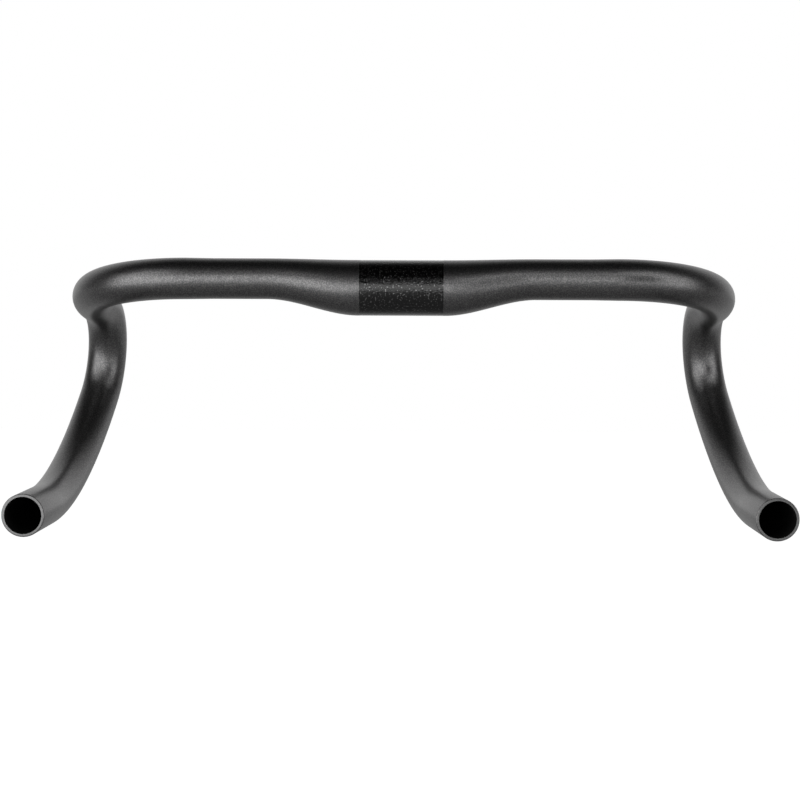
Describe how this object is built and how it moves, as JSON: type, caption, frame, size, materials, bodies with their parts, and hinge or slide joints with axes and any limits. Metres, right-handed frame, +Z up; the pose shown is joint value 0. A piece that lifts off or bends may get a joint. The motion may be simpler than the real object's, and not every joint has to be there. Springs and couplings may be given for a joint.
{
  "type": "flared drop handlebar",
  "caption": "Black drop handlebar in tapered aluminium tube, with a gritty clamp bulge, compact hooks and drops that flare outwards.",
  "frame": {"origin": "middle of the clamp, on the clamp's axis", "axes": "+X along the clamp to the rider's right, +Y forwards over the front wheel, +Z up with the straight ends of the drops level"},
  "size_m": [0.435, 0.1775, 0.1536],
  "materials": {
    "tube": "satin black anodised, blasted"
  },
  "bodies": {
    "root": {"handlebar": "tube"}
  },
  "joints": []
}
